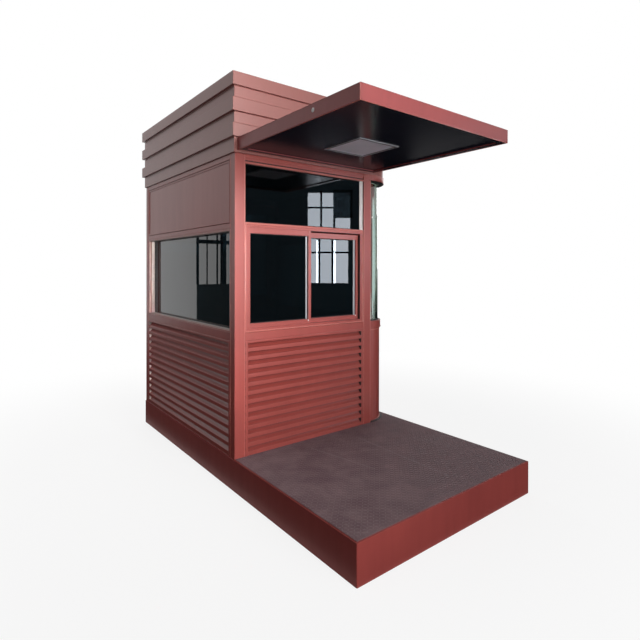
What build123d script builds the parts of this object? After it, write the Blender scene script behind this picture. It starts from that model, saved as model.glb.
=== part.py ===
from build123d import *
import os

# Security guard booth: a steel-framed cabin with one rounded glass corner, standing at the
# back of a welded base whose front is an open chequer-plate deck under a cantilever canopy.
# Millimetres. +X runs along the front wall to the rounded corner, -Y is the front, +Z up.
# The origin is on the ground at the centre of the whole booth, fascia included.

# Overall sizes
booth_width = 1500.0
booth_length = 2968.0
cabin_depth = 1765.0
base_height = 206.0
booth_height = 2720.0
corner_radius = 250.0

# Walls and posts
wall_inset = 5.0
wall_thickness = 62.0
post_width = 75.0
corner_link = 22.0
sill_bottom = 971.0
sill_rail_height = 53.0
upper_panel_height = 493.0
head_rail_height = 47.0
frieze_height = 97.0

# Ribbed lower panels
rib_pitch = 57.0
rib_depth = 26.0
rib_scoop = 6.0
rib_crest_share = 0.45
crest_setback = 2.0
panel_border = 25.0
panel_top_border = 18.0
panel_foot = 3.0

# Flat upper panels with a raised picture-frame bead
upper_panel_setback = 4.0
bead_width = 13.0
bead_margin = 14.0
bead_top_margin = 40.0

# Fascia courses round the roof
course_pitch = 166.0
board_height = 86.0
board_projection = 30.0
recess_projection = 11.0
board_bevel = 8.0
fascia_backing = 20.0
course_count = 3

# Canopy
canopy_left = 18.0
canopy_gap = 16.0
canopy_thickness = 79.0
canopy_rim = 45.0
soffit_recess = 6.0
canopy_sheet = 3.0
lamp_size = 340.0
lamp_from_wall = 355.0
lamp_frame_width = 14.0
lamp_frame_drop = 4.0
lamp_depth = 30.0

# Front window, with a fixed transom light over a two-leaf slider
window_frame_setback = 4.0
head_lip = 13.0
transom_lip = 5.0
jamb_width = 34.0
track_height = 26.0
transom_light_height = 388.0
transom_bar_height = 34.0
leaf_stile = 30.0
closing_stile = 21.0
fixed_stile = 9.0
leaf_top_rail = 38.0
leaf_bottom_rail = 32.0
leaf_depth = 24.0
outer_leaf_setback = 6.0
track_gap = 3.0
slider_jamb_gap = 1.0
slider_head_gap = 9.0
glass_thickness = 5.0
leaf_glass_inset = 17.0
transom_glass_inset = 26.0

# Fixed windows in the side and back walls, and the bent corner glass
side_frame_lip = 12.0
side_frame_depth = 62.0
side_glass_inset = 56.0
corner_glass_setback = 32.0
corner_rail_setback = 10.0
corner_rail_lap = 7.0
corner_head_projection = 18.0
corner_panel_setback = 18.0
corner_rim_height = 12.0

# Door in the back wall
door_width = 780.0
door_frame_width = 30.0
door_clearance = 4.0
door_thickness = 40.0
threshold_height = 14.0
door_stile = 95.0
door_glass_bottom = 1160.0
handle_height = 1050.0
handle_projection = 42.0
handle_length = 130.0
plate_width = 36.0
plate_height = 220.0
plate_thickness = 5.0
spindle_radius = 8.0
lever_radius = 8.0
hinge_height = 90.0
hinge_radius = 7.0
hinge_plate_width = 24.0
hinge_plate_thickness = 2.0
hinge_count = 3

# Base frame, floors and roof
channel_flange = 60.0
channel_wall = 6.0
cross_member_width = 50.0
cross_member_height = 100.0
porch_bays = 3
cabin_bays = 3
deck_plate_thickness = 3.0
deck_plate_inset = 9.0
floor_thickness = 18.0
ceiling_thickness = 9.0
roof_beam_width = 60.0
roof_deck_thickness = 24.0

# Places that follow from the sizes above
half_width = booth_width / 2
porch_depth = booth_length - cabin_depth + wall_inset - board_projection
porch_front = -booth_length / 2
front_face = porch_front + porch_depth
base_back = front_face + cabin_depth
back_face = base_back - wall_inset
left_face = -half_width + wall_inset
right_face = half_width - wall_inset
corner_x = right_face - corner_radius
corner_y = front_face + corner_radius
fascia_bottom = booth_height - (course_count - 1) * course_pitch - board_height
roof_top = fascia_bottom + roof_deck_thickness
wall_top = fascia_bottom - frieze_height
head_bottom = wall_top - head_rail_height
window_top = wall_top - upper_panel_height
sill_top = sill_bottom + sill_rail_height

os.makedirs("parts", exist_ok=True)


def save(shape, node):
    """Write one node's solids."""
    export_step(shape, "parts/" + node + ".step")


def block(x0, x1, y0, y1, z0, z1):
    """A box between its low and high corners."""
    centre = Pos((x0 + x1) / 2, (y0 + y1) / 2, (z0 + z1) / 2)
    return centre * Box(x1 - x0, y1 - y0, z1 - z0)


# Each wall is drawn as if it were the front one: x along it from left to right as seen from
# outside, y = 0 on its outer face and growing inwards. These places stand it up on its side.
front_wall = Pos(0, front_face, 0)
left_wall = Pos(left_face, 0, 0) * Rot(0, 0, -90)
right_wall = Pos(right_face, 0, 0) * Rot(0, 0, 90)
back_wall = Pos(0, back_face, 0) * Rot(0, 0, 180)

# Ends of each wall between its corner posts, along that wall
front_start = left_face + post_width
front_end = corner_x - corner_link - post_width
left_start = -(back_face - wall_thickness)
left_end = -(front_face + wall_thickness)
right_start = corner_y + corner_link + post_width
right_end = back_face - wall_thickness
back_start = -(right_face - post_width)
back_end = -(left_face + post_width)
door_end = back_start + door_width
back_bay_start = door_end + post_width


def cabin_plan(offset):
    """Plan of the cabin grown by offset: a rectangle with its front right corner rounded."""
    x0, x1 = left_face - offset, right_face + offset
    y0, y1 = front_face - offset, back_face + offset
    rectangle = Pos((x0 + x1) / 2, (y0 + y1) / 2) * Rectangle(x1 - x0, y1 - y0)
    rounded = rectangle.vertices().sort_by(Axis.X)[-2:].sort_by(Axis.Y)[0]
    return fillet(rounded, corner_radius + offset)


def slab(plan, z0, z1):
    """A plan raised from z0 to z1."""
    return extrude(Pos(0, 0, z0) * plan, z1 - z0)


# Base frame: rolled channels with their flanges turned inwards, welded into a ladder


def channel(length):
    """Channel along X with its web on the outer face y = 0 and its flanges turned inwards."""
    web = block(-length / 2, length / 2, 0, channel_wall, 0, base_height)
    lower = block(-length / 2, length / 2, 0, channel_flange, 0, channel_wall)
    upper = block(-length / 2, length / 2, 0, channel_flange, base_height - channel_wall, base_height)
    return web + lower + upper


def mitred_channel(length):
    """Channel cut at 45 degrees at both ends, so that four of them close a rectangle."""
    half, flange = length / 2, channel_flange
    corners = [(-half, 0), (half, 0), (half - flange, flange), (-half + flange, flange)]
    return channel(length) & slab(make_face(Polyline(corners, close=True)), 0, base_height)


base_length = porch_depth + cabin_depth
base_middle = (porch_front + base_back) / 2
side_beam = mitred_channel(base_length)
end_beam = mitred_channel(booth_width)
save(
    Compound([
        Pos(-half_width, base_middle, 0) * Rot(0, 0, -90) * side_beam,
        Pos(half_width, base_middle, 0) * Rot(0, 0, 90) * side_beam,
    ]),
    "base_side_beams",
)
save(
    Compound([
        Pos(0, porch_front, 0) * end_beam,
        Pos(0, base_back, 0) * Rot(0, 0, 180) * end_beam,
    ]),
    "base_end_beams",
)

# Cross members between the webs: under the deck, under the front wall and under the floor
member_span = booth_width - 2 * channel_wall
flange_gap = booth_width - 2 * channel_flange
member_low = base_height - channel_wall - cross_member_height


def cross_member(y):
    """Box section across the base, notched under the side beams' top flanges."""
    y0, y1 = y - cross_member_width / 2, y + cross_member_width / 2
    beam = block(-member_span / 2, member_span / 2, y0, y1, member_low, base_height - channel_wall)
    raised = block(-flange_gap / 2, flange_gap / 2, y0, y1, base_height - channel_wall, base_height)
    return beam + raised


members = [cross_member(front_face + wall_thickness / 2)]
for bay in range(1, porch_bays):
    members.append(cross_member(porch_front + bay * porch_depth / porch_bays))
for bay in range(1, cabin_bays):
    members.append(cross_member(front_face + bay * cabin_depth / cabin_bays))
save(Compound(members), "base_cross_members")

# Chequer plate over the porch and round the foot of the rounded corner
deck_front = porch_front + deck_plate_inset
deck_side = half_width - deck_plate_inset
deck_area = Pos(0, (deck_front + corner_y) / 2) * Rectangle(2 * deck_side, corner_y - deck_front)
deck_area = deck_area - cabin_plan(0)
save(slab(deck_area, base_height, base_height + deck_plate_thickness), "deck_plate")

# Plywood floor inside the walls
floor_area = cabin_plan(-wall_thickness)
save(slab(floor_area, base_height, base_height + floor_thickness), "cabin_floor")

# Posts


def post(start, width, top=wall_top):
    """Square-section wall post from the base to its top."""
    return block(start, start + width, 0, wall_thickness, base_height, top)


save(front_wall * post(left_face, post_width), "front_left_post")
save(front_wall * post(front_end, post_width), "front_right_post")
save(right_wall * post(corner_y + corner_link, post_width), "corner_side_post")
save(
    Compound([
        back_wall * post(-right_face, post_width),
        back_wall * post(door_end, post_width),
        back_wall * post(-left_face - post_width, post_width),
    ]),
    "back_posts",
)

# Ribbed lower panels: flat slats, each over a scooped groove that ends under the lip above


def ribbed_panel(start, end):
    """Sandwich panel whose outer skin is pressed into horizontal slats inside a flat border."""
    low, high = base_height + panel_foot, sill_bottom - panel_top_border
    count = round((high - low) / rib_pitch)
    pitch = (high - low) / count
    crest, valley = crest_setback, crest_setback + rib_depth
    slat_start, slat_end = start + panel_border, end - panel_border
    panel = block(start, end, 0, wall_thickness, base_height, sill_bottom)
    panel -= block(slat_start, slat_end, 0, crest, low, high)
    for index in range(count):
        lip = low + (index + 1) * pitch
        ledge = lip - (1 - rib_crest_share) * pitch
        scoop = ThreePointArc(
            (crest, ledge), ((crest + valley) / 2 + rib_scoop, (ledge + lip) / 2), (valley, lip)
        )
        mouth = Polyline([(valley, lip), (0, lip), (0, ledge), (crest, ledge)])
        groove = extrude(Plane.YZ * make_face(Curve() + [scoop, mouth]), slat_end - slat_start)
        panel -= Pos(slat_start, 0, 0) * groove
    return panel


save(front_wall * ribbed_panel(front_start, front_end), "front_ribbed_panel")
save(left_wall * ribbed_panel(left_start, left_end), "left_ribbed_panel")
save(right_wall * ribbed_panel(right_start, right_end), "right_ribbed_panel")
save(back_wall * ribbed_panel(back_bay_start, back_end), "back_ribbed_panel")

# Sill rails between the posts, over the ribbed panels


def rail(start, end, z0, z1):
    """Box-section rail between two posts."""
    return block(start, end, 0, wall_thickness, z0, z1)


save(
    Compound([
        front_wall * rail(front_start, front_end, sill_bottom, sill_top),
        left_wall * rail(left_start, left_end, sill_bottom, sill_top),
        right_wall * rail(right_start, right_end, sill_bottom, sill_top),
        back_wall * rail(back_bay_start, back_end, sill_bottom, sill_top),
    ]),
    "sill_rails",
)

# Rounded corner: bent rails, panel and glass between the two posts beside it


def corner_band(setback, depth, z0, z1):
    """Quarter-round band, set back from the wall face, with straight ends up to the posts."""
    outer, inner = corner_radius - setback, corner_radius - setback - depth
    quarter = Pos(outer / 2, -outer / 2) * Rectangle(outer, outer)
    bend = (Circle(outer) - Circle(inner)) & quarter
    front_end_piece = Pos(-corner_link / 2, -(outer + inner) / 2) * Rectangle(corner_link, depth)
    side_end_piece = Pos((outer + inner) / 2, corner_link / 2) * Rectangle(depth, corner_link)
    band = bend + front_end_piece + side_end_piece
    return slab(Pos(corner_x, corner_y) * band, z0, z1)


def corner_band_between(outer_setback, z0, z1):
    """Corner band from its own outer setback to the inner face of the walls."""
    return corner_band(outer_setback, wall_thickness - outer_setback, z0, z1)


corner_rail_bottom = sill_bottom - corner_rail_lap
corner_panel = corner_band_between(
    corner_panel_setback, base_height + corner_rim_height, corner_rail_bottom
)
corner_rim = corner_band_between(corner_rail_setback, base_height, base_height + corner_rim_height)
save(corner_panel + corner_rim, "corner_lower_panel")
save(corner_band_between(corner_rail_setback, corner_rail_bottom, sill_top), "corner_sill_rail")
save(corner_band(corner_glass_setback, glass_thickness, sill_top, head_bottom), "corner_glass")
save(corner_band_between(-corner_head_projection, head_bottom, wall_top), "corner_head_rail")

# Head rail over the front window, in three shallow steps
head_steps = 3
head_step_depth = 4.0
head_step_height = (wall_top - head_bottom) / head_steps
head_rail = rail(front_start, front_end, head_bottom, wall_top)
for index in range(head_steps - 1):
    step_setback = (head_steps - 1 - index) * head_step_depth
    step_low = head_bottom + index * head_step_height
    head_rail -= block(front_start, front_end, 0, step_setback, step_low, step_low + head_step_height)
save(front_wall * head_rail, "front_head_rail")

# Front window: one frame, a fixed transom light over two leaves in parallel tracks
frame_inner_left = front_start + jamb_width
frame_inner_right = front_end - jamb_width
transom_left, transom_right = front_start + transom_lip, front_end - transom_lip
track_top = sill_top + track_height
transom_glass_top = head_bottom - head_lip
transom_glass_bottom = transom_glass_top - transom_light_height
transom_bar_bottom = transom_glass_bottom - transom_bar_height
window_frame = block(front_start, front_end, window_frame_setback, wall_thickness, sill_top, head_bottom)
window_frame -= block(
    transom_left, transom_right, 0, wall_thickness, transom_glass_bottom, transom_glass_top
)
window_frame -= block(
    frame_inner_left, frame_inner_right, 0, wall_thickness, track_top, transom_bar_bottom
)
save(front_wall * window_frame, "front_window_frame")


def glass_pane(start, end, z0, z1, outer):
    """Flat pane with its outer face at the given depth."""
    return block(start, end, outer, outer + glass_thickness, z0, z1)


def sliding_leaf(start, end, left_stile, right_stile, z1, outer):
    """Aluminium leaf frame: two stiles, a top rail and a bottom rail round an opening."""
    leaf = block(start, end, outer, outer + leaf_depth, track_top, z1)
    opening = block(
        start + left_stile,
        end - right_stile,
        outer,
        outer + leaf_depth,
        track_top + leaf_bottom_rail,
        z1 - leaf_top_rail,
    )
    return leaf - opening


def leaf_pane(start, end, left_stile, right_stile, z1, outer):
    """Glass of a leaf, filling its opening."""
    return glass_pane(
        start + left_stile,
        end - right_stile,
        track_top + leaf_bottom_rail,
        z1 - leaf_top_rail,
        outer + leaf_glass_inset,
    )


meeting_end = (frame_inner_left + frame_inner_right + leaf_stile) / 2
fixed_leaf = (
    frame_inner_left,
    meeting_end,
    fixed_stile,
    leaf_stile,
    transom_bar_bottom,
    outer_leaf_setback,
)
slider = (
    meeting_end - leaf_stile,
    frame_inner_right - slider_jamb_gap,
    leaf_stile,
    closing_stile,
    transom_bar_bottom - slider_head_gap,
    outer_leaf_setback + leaf_depth + track_gap,
)
save(front_wall * sliding_leaf(*fixed_leaf), "front_fixed_leaf")
save(front_wall * sliding_leaf(*slider), "front_sliding_leaf")
transom_pane = glass_pane(
    transom_left, transom_right, transom_glass_bottom, transom_glass_top, transom_glass_inset
)
front_panes = [transom_pane, leaf_pane(*fixed_leaf), leaf_pane(*slider)]
save(Compound([front_wall * pane for pane in front_panes]), "front_window_glass")

# Fixed windows: a thin glazing frame inside posts and rails, and one pane


def fixed_window_frame(start, end):
    """Glazing frame lining the opening from the outer face to behind the glass."""
    outer = block(start, end, 0, side_frame_depth, sill_top, window_top)
    opening = block(
        start + side_frame_lip,
        end - side_frame_lip,
        0,
        side_frame_depth,
        sill_top + side_frame_lip,
        window_top - side_frame_lip,
    )
    return outer - opening


def fixed_window_pane(start, end):
    """Glass filling the glazing frame."""
    return glass_pane(
        start + side_frame_lip,
        end - side_frame_lip,
        sill_top + side_frame_lip,
        window_top - side_frame_lip,
        side_glass_inset,
    )


for side, wall, start, end in (
    ("left", left_wall, left_start, left_end),
    ("right", right_wall, right_start, right_end),
    ("back", back_wall, back_bay_start, back_end),
):
    save(wall * fixed_window_frame(start, end), side + "_window_frame")
    save(wall * fixed_window_pane(start, end), side + "_window_glass")

# Upper panels over the fixed windows


def upper_panel(start, end):
    """Flat panel with a raised picture-frame bead and a rail along its foot and head."""
    low, high = window_top, wall_top
    bead_low, bead_high = low + bead_top_margin, high - bead_top_margin
    bead_start, bead_end = start + bead_margin, end - bead_margin
    panel = block(start, end, 0, wall_thickness, low, high)
    field = block(bead_start, bead_end, 0, upper_panel_setback, bead_low, bead_high)
    ring = field - block(
        bead_start + bead_width,
        bead_end - bead_width,
        0,
        upper_panel_setback,
        bead_low + bead_width,
        bead_high - bead_width,
    )
    groove = block(
        bead_start - upper_panel_setback,
        bead_end + upper_panel_setback,
        0,
        upper_panel_setback,
        bead_low - upper_panel_setback,
        bead_high + upper_panel_setback,
    )
    return panel - groove + ring


save(left_wall * upper_panel(left_start, left_end), "left_upper_panel")
save(right_wall * upper_panel(right_start, right_end), "right_upper_panel")
save(back_wall * upper_panel(back_bay_start, back_end), "back_upper_panel")

# Fascia: boards pressed in steps, mitred at the square corners and turned round the bend


def fascia_outline():
    """Section of the fascia as (outward projection, height) points, from its foot up."""
    points = [(-fascia_backing, wall_top), (recess_projection, wall_top)]
    for index in range(course_count):
        board_low = fascia_bottom + index * course_pitch
        board_high = board_low + board_height
        points.append((recess_projection, board_low))
        points.append((board_projection, board_low))
        points.append((board_projection, board_high))
        if index < course_count - 1:
            points.append((recess_projection, board_high + board_bevel))
    points.append((-fascia_backing, booth_height))
    return points


def fascia_side(wall, start, end):
    """Straight run of fascia along one wall, longer than its mitred ends need."""
    section = make_face(Polyline([(-out, z) for out, z in fascia_outline()], close=True))
    run = extrude(Plane.YZ * section, end - start)
    return wall * Pos(start, 0, 0) * run


def mitred(run, corners):
    """The part of a run over a plan area given by its corners."""
    return run & slab(make_face(Polyline(corners, close=True)), wall_top, booth_height)


reach = board_projection + fascia_backing
overlap = 2 * reach
x_out, x_in = left_face - reach, left_face + reach
x_far_out, x_far_in = right_face + reach, right_face - reach
y_out, y_in = front_face - reach, front_face + reach
y_far_out, y_far_in = back_face + reach, back_face - reach
save(
    mitred(
        fascia_side(front_wall, left_face - overlap, corner_x),
        [(x_out, y_out), (corner_x, y_out), (corner_x, y_in), (x_in, y_in)],
    ),
    "fascia_front",
)
save(
    mitred(
        fascia_side(left_wall, -back_face - overlap, -front_face + overlap),
        [(x_out, y_out), (x_in, y_in), (x_in, y_far_in), (x_out, y_far_out)],
    ),
    "fascia_left",
)
save(
    mitred(
        fascia_side(right_wall, corner_y, back_face + overlap),
        [(x_far_out, corner_y), (x_far_out, y_far_out), (x_far_in, y_far_in), (x_far_in, corner_y)],
    ),
    "fascia_right",
)
save(
    mitred(
        fascia_side(back_wall, -right_face - overlap, -left_face + overlap),
        [(x_out, y_far_out), (x_in, y_far_in), (x_far_in, y_far_in), (x_far_out, y_far_out)],
    ),
    "fascia_back",
)
corner_section = make_face(
    Polyline([(corner_radius + out, z) for out, z in fascia_outline()], close=True)
)
corner_turn = revolve(Plane.XZ * corner_section, Axis.Z, 90)
save(Pos(corner_x, corner_y, 0) * Rot(0, 0, -90) * corner_turn, "fascia_corner")

# Roof: a welded ring with two joists, a deck laid on it and a ceiling screwed up under it
roof_outer = cabin_plan(-fascia_backing)
roof_inner = cabin_plan(-fascia_backing - roof_beam_width)
roof_frame = slab(roof_outer, wall_top, fascia_bottom) - slab(roof_inner, wall_top, fascia_bottom)
joist_count = 2
joist_x = right_face - fascia_backing - roof_beam_width
for index in range(joist_count):
    joist_y = front_face + (index + 1) * (back_face - front_face) / (joist_count + 1)
    joist_front, joist_back = joist_y - roof_beam_width / 2, joist_y + roof_beam_width / 2
    roof_frame += block(-joist_x, joist_x, joist_front, joist_back, wall_top, fascia_bottom)
save(roof_frame, "roof_frame")
save(slab(roof_outer, fascia_bottom, roof_top), "roof_deck")
ceiling_area = cabin_plan(-wall_thickness)
save(slab(ceiling_area, wall_top - ceiling_thickness, wall_top), "ceiling_panel")

# Canopy: a flat cantilever box with a rim, a top sheet, a sunk soffit and a square lamp
canopy_x0 = -half_width + canopy_left
canopy_x1 = corner_x
canopy_y0 = porch_front
canopy_y1 = front_face - recess_projection
canopy_bottom = wall_top + canopy_gap
canopy_top = canopy_bottom + canopy_thickness
rim_x0, rim_x1 = canopy_x0 + canopy_rim, canopy_x1 - canopy_rim
rim_y0, rim_y1 = canopy_y0 + canopy_rim, canopy_y1 - canopy_rim
canopy_frame = block(canopy_x0, canopy_x1, canopy_y0, canopy_y1, canopy_bottom, canopy_top - canopy_sheet)
canopy_frame -= block(rim_x0, rim_x1, rim_y0, rim_y1, canopy_bottom, canopy_top)
save(canopy_frame, "canopy_frame")
save(
    block(canopy_x0, canopy_x1, canopy_y0, canopy_y1, canopy_top - canopy_sheet, canopy_top),
    "canopy_top_sheet",
)
lamp_x = (canopy_x0 + canopy_x1) / 2
lamp_y1 = front_face - lamp_from_wall
lamp_y0 = lamp_y1 - lamp_size
lamp_x0, lamp_x1 = lamp_x - lamp_size / 2, lamp_x + lamp_size / 2
soffit_low = canopy_bottom + soffit_recess
soffit_high = soffit_low + canopy_sheet
soffit = block(rim_x0, rim_x1, rim_y0, rim_y1, soffit_low, soffit_high)
soffit -= block(
    lamp_x0 + lamp_frame_width,
    lamp_x1 - lamp_frame_width,
    lamp_y0 + lamp_frame_width,
    lamp_y1 - lamp_frame_width,
    soffit_low,
    soffit_high,
)
save(soffit, "canopy_soffit")


def square_block(shrink, z0, z1):
    """Block over the lamp's square, drawn in on every side."""
    return block(lamp_x0 + shrink, lamp_x1 - shrink, lamp_y0 + shrink, lamp_y1 - shrink, z0, z1)


lamp_flange = square_block(0, soffit_low - lamp_frame_drop, soffit_low)
lamp_body = square_block(lamp_frame_width, soffit_low, soffit_low + lamp_depth)
lamp_light = square_block(lamp_frame_width + channel_wall, soffit_low - lamp_frame_drop, soffit_high)
lamp_lens_low = soffit_low - lamp_frame_drop / 2
save(lamp_flange + lamp_body - lamp_light, "canopy_lamp_housing")
save(square_block(lamp_frame_width + channel_wall, lamp_lens_low, soffit_high), "canopy_lamp_diffuser")

# Back door: a frame in its opening, a leaf with a glazed upper half, hinges and a lever
door_frame = block(back_start, door_end, 0, wall_thickness, base_height, wall_top)
door_opening_left = back_start + door_frame_width
door_opening_right = door_end - door_frame_width
door_opening_top = head_bottom - door_frame_width
threshold_top = base_height + threshold_height
door_frame -= block(
    door_opening_left, door_opening_right, 0, wall_thickness, threshold_top, door_opening_top
)
save(back_wall * door_frame, "door_frame")

door_setback = wall_thickness - door_thickness
leaf_left = door_opening_left + door_clearance
leaf_right = door_opening_right - door_clearance
leaf_low = threshold_top + door_clearance
leaf_high = door_opening_top - door_clearance
light_left, light_right = leaf_left + door_stile, leaf_right - door_stile
light_high = leaf_high - door_stile
door_leaf = block(leaf_left, leaf_right, door_setback, wall_thickness, leaf_low, leaf_high)
door_leaf -= block(light_left, light_right, door_setback, wall_thickness, door_glass_bottom, light_high)
save(back_wall * door_leaf, "door_leaf")
door_glass_face = door_setback + (door_thickness - glass_thickness) / 2
save(
    back_wall * glass_pane(light_left, light_right, door_glass_bottom, light_high, door_glass_face),
    "door_glass",
)

# Lever handle on its plate, near the leaf's free edge
lever_x = leaf_right - door_stile / 2
lever_y = door_setback - handle_projection
plate = block(
    lever_x - plate_width / 2,
    lever_x + plate_width / 2,
    door_setback - plate_thickness,
    door_setback,
    handle_height - plate_height / 2,
    handle_height + plate_height / 2,
)
spindle_face = Plane((lever_x, door_setback, handle_height), z_dir=(0, -1, 0))
spindle = extrude(spindle_face * Circle(spindle_radius), handle_projection)
lever_start = Plane((lever_x + lever_radius, lever_y, handle_height), z_dir=(-1, 0, 0))
lever = extrude(lever_start * Circle(lever_radius), handle_length)
save(back_wall * (plate + spindle + lever), "door_handle")

# Butt hinges inside the cabin, with a plate on the frame, one on the leaf and a knuckle between
hinge_span = leaf_high - leaf_low
hinge_x = (door_opening_left + leaf_left) / 2
hinge_y = wall_thickness + hinge_plate_thickness
hinges = []
for index in range(hinge_count):
    hinge_z = leaf_low + hinge_span * (index + 0.5) / hinge_count
    knuckle = Pos(hinge_x, wall_thickness + hinge_radius, hinge_z) * Cylinder(hinge_radius, hinge_height)
    plates = block(
        hinge_x - hinge_plate_width,
        hinge_x + hinge_plate_width,
        wall_thickness,
        hinge_y,
        hinge_z - hinge_height / 2,
        hinge_z + hinge_height / 2,
    )
    hinges.append(back_wall * (knuckle + plates))
save(Compound(hinges), "door_hinges")
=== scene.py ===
import bpy
import bmesh
import math
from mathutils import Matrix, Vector


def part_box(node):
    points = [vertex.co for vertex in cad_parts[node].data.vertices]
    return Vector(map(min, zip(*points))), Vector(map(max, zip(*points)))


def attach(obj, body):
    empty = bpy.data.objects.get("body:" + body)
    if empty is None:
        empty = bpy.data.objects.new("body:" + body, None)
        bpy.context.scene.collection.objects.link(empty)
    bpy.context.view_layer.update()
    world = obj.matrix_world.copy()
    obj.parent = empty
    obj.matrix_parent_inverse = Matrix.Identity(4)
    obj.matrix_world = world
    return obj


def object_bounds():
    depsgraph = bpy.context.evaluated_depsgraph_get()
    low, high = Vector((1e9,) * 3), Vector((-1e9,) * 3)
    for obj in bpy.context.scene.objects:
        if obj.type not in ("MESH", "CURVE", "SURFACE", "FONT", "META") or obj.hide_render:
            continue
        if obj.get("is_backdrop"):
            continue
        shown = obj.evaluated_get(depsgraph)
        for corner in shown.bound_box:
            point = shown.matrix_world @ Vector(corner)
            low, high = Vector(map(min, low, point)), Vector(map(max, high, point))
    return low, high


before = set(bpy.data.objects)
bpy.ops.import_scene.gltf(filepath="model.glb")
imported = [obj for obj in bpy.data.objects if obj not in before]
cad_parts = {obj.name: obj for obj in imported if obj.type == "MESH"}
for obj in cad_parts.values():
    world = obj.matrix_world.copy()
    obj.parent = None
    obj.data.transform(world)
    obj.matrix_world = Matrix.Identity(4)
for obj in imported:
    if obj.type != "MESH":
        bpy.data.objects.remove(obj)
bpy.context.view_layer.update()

# Base frame. Rolled steel channels, mitred and welded into a ladder, with box-section members
# across it. The channels are sprayed with the walls' enamel, dulled near the ground by road dust,
# and the members underneath stay in red oxide primer. Sizes are in millimetres.


def linear(hex_colour):
    """An sRGB hex colour as linear red, green, blue and alpha."""
    channels = [int(hex_colour[i:i + 2], 16) / 255 for i in (1, 3, 5)]
    return [c / 12.92 if c <= 0.04045 else ((c + 0.055) / 1.055) ** 2.4 for c in channels] + [1.0]


def add(tree, kind, settings, links=()):
    """Adds a node, sets its properties and sockets, and feeds it from other nodes' outputs."""
    node = tree.nodes.new(kind)
    for name, value in settings.items():
        if isinstance(name, int) or name in node.inputs:
            node.inputs[name].default_value = value
        else:
            setattr(node, name, value)
    for socket, source in links:
        tree.links.new(source, node.inputs[socket])
    return node


def noise(tree, place, size_mm, detail=2.0, roughness=0.5, distortion=0.0):
    """Noise with patches of a size in millimetres."""
    settings = {"Scale": 1000 / size_mm, "Detail": detail, "Roughness": roughness, "Distortion": distortion}
    return add(tree, "ShaderNodeTexNoise", settings, [("Vector", place)]).outputs["Fac"]


def cells(tree, place, size_mm, randomness=1.0):
    """Cells of a size in millimetres, in even squares where the randomness is 0."""
    settings = {"Scale": 1000 / size_mm, "Randomness": randomness}
    return add(tree, "ShaderNodeTexVoronoi", settings, [("Vector", place)])


def stretched(tree, place, scale):
    """The surface's place scaled along each axis, which draws a pattern out where it is small."""
    return add(tree, "ShaderNodeMapping", {"Scale": scale}, [("Vector", place)]).outputs[0]


def calculate(tree, operation, *terms):
    """A calculation with numbers and other nodes' outputs."""
    settings = {i: term for i, term in enumerate(terms) if isinstance(term, float)}
    links = [(i, term) for i, term in enumerate(terms) if not isinstance(term, float)]
    return add(tree, "ShaderNodeMath", {"operation": operation, **settings}, links).outputs[0]


def between(tree, value, low, high, to_low=0.0, to_high=1.0, curve="LINEAR"):
    """How far a value lies between two limits, laid out over another range."""
    settings = {"From Min": low, "From Max": high, "To Min": to_low, "To Max": to_high}
    settings["interpolation_type"] = curve
    return add(tree, "ShaderNodeMapRange", settings, [("Value", value)]).outputs[0]


def blend(tree, share, first, second):
    """A colour between two, each of them a hex colour or another node's output."""
    settings, links = {"data_type": "RGBA"}, [(0, share)]
    for socket, colour in ((6, first), (7, second)):
        if isinstance(colour, str):
            settings[socket] = linear(colour)
        else:
            links.append((socket, colour))
    return add(tree, "ShaderNodeMix", settings, links).outputs[2]


def relief(tree, height, depth_mm, strength, below=None):
    """A bump of a depth in millimetres, laid over another one if there is one below."""
    links = [("Height", height)] + ([] if below is None else [("Normal", below)])
    return add(tree, "ShaderNodeBump", {"Strength": strength, "Distance": depth_mm / 1000}, links).outputs[0]


def start_finish(name):
    """An empty material, and the surface's own place in metres to hang its patterns on."""
    material = bpy.data.materials.new(name)
    material.use_nodes = True
    tree = material.node_tree
    tree.nodes.clear()
    return material, tree, add(tree, "ShaderNodeTexCoord", {}).outputs["Object"]


def end_finish(material, tree, shader):
    """Closes a material with its output."""
    add(tree, "ShaderNodeOutputMaterial", {}, [("Surface", shader.outputs[0])])
    return material


def end_surface(material, tree, settings, colour, normal=None, roughness=None):
    """Closes a material with a Principled surface and its output."""
    sources = (("Base Color", colour), ("Normal", normal), ("Roughness", roughness))
    links = [(socket, source) for socket, source in sources if source is not None]
    return end_finish(material, tree, add(tree, "ShaderNodeBsdfPrincipled", settings, links))


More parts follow.
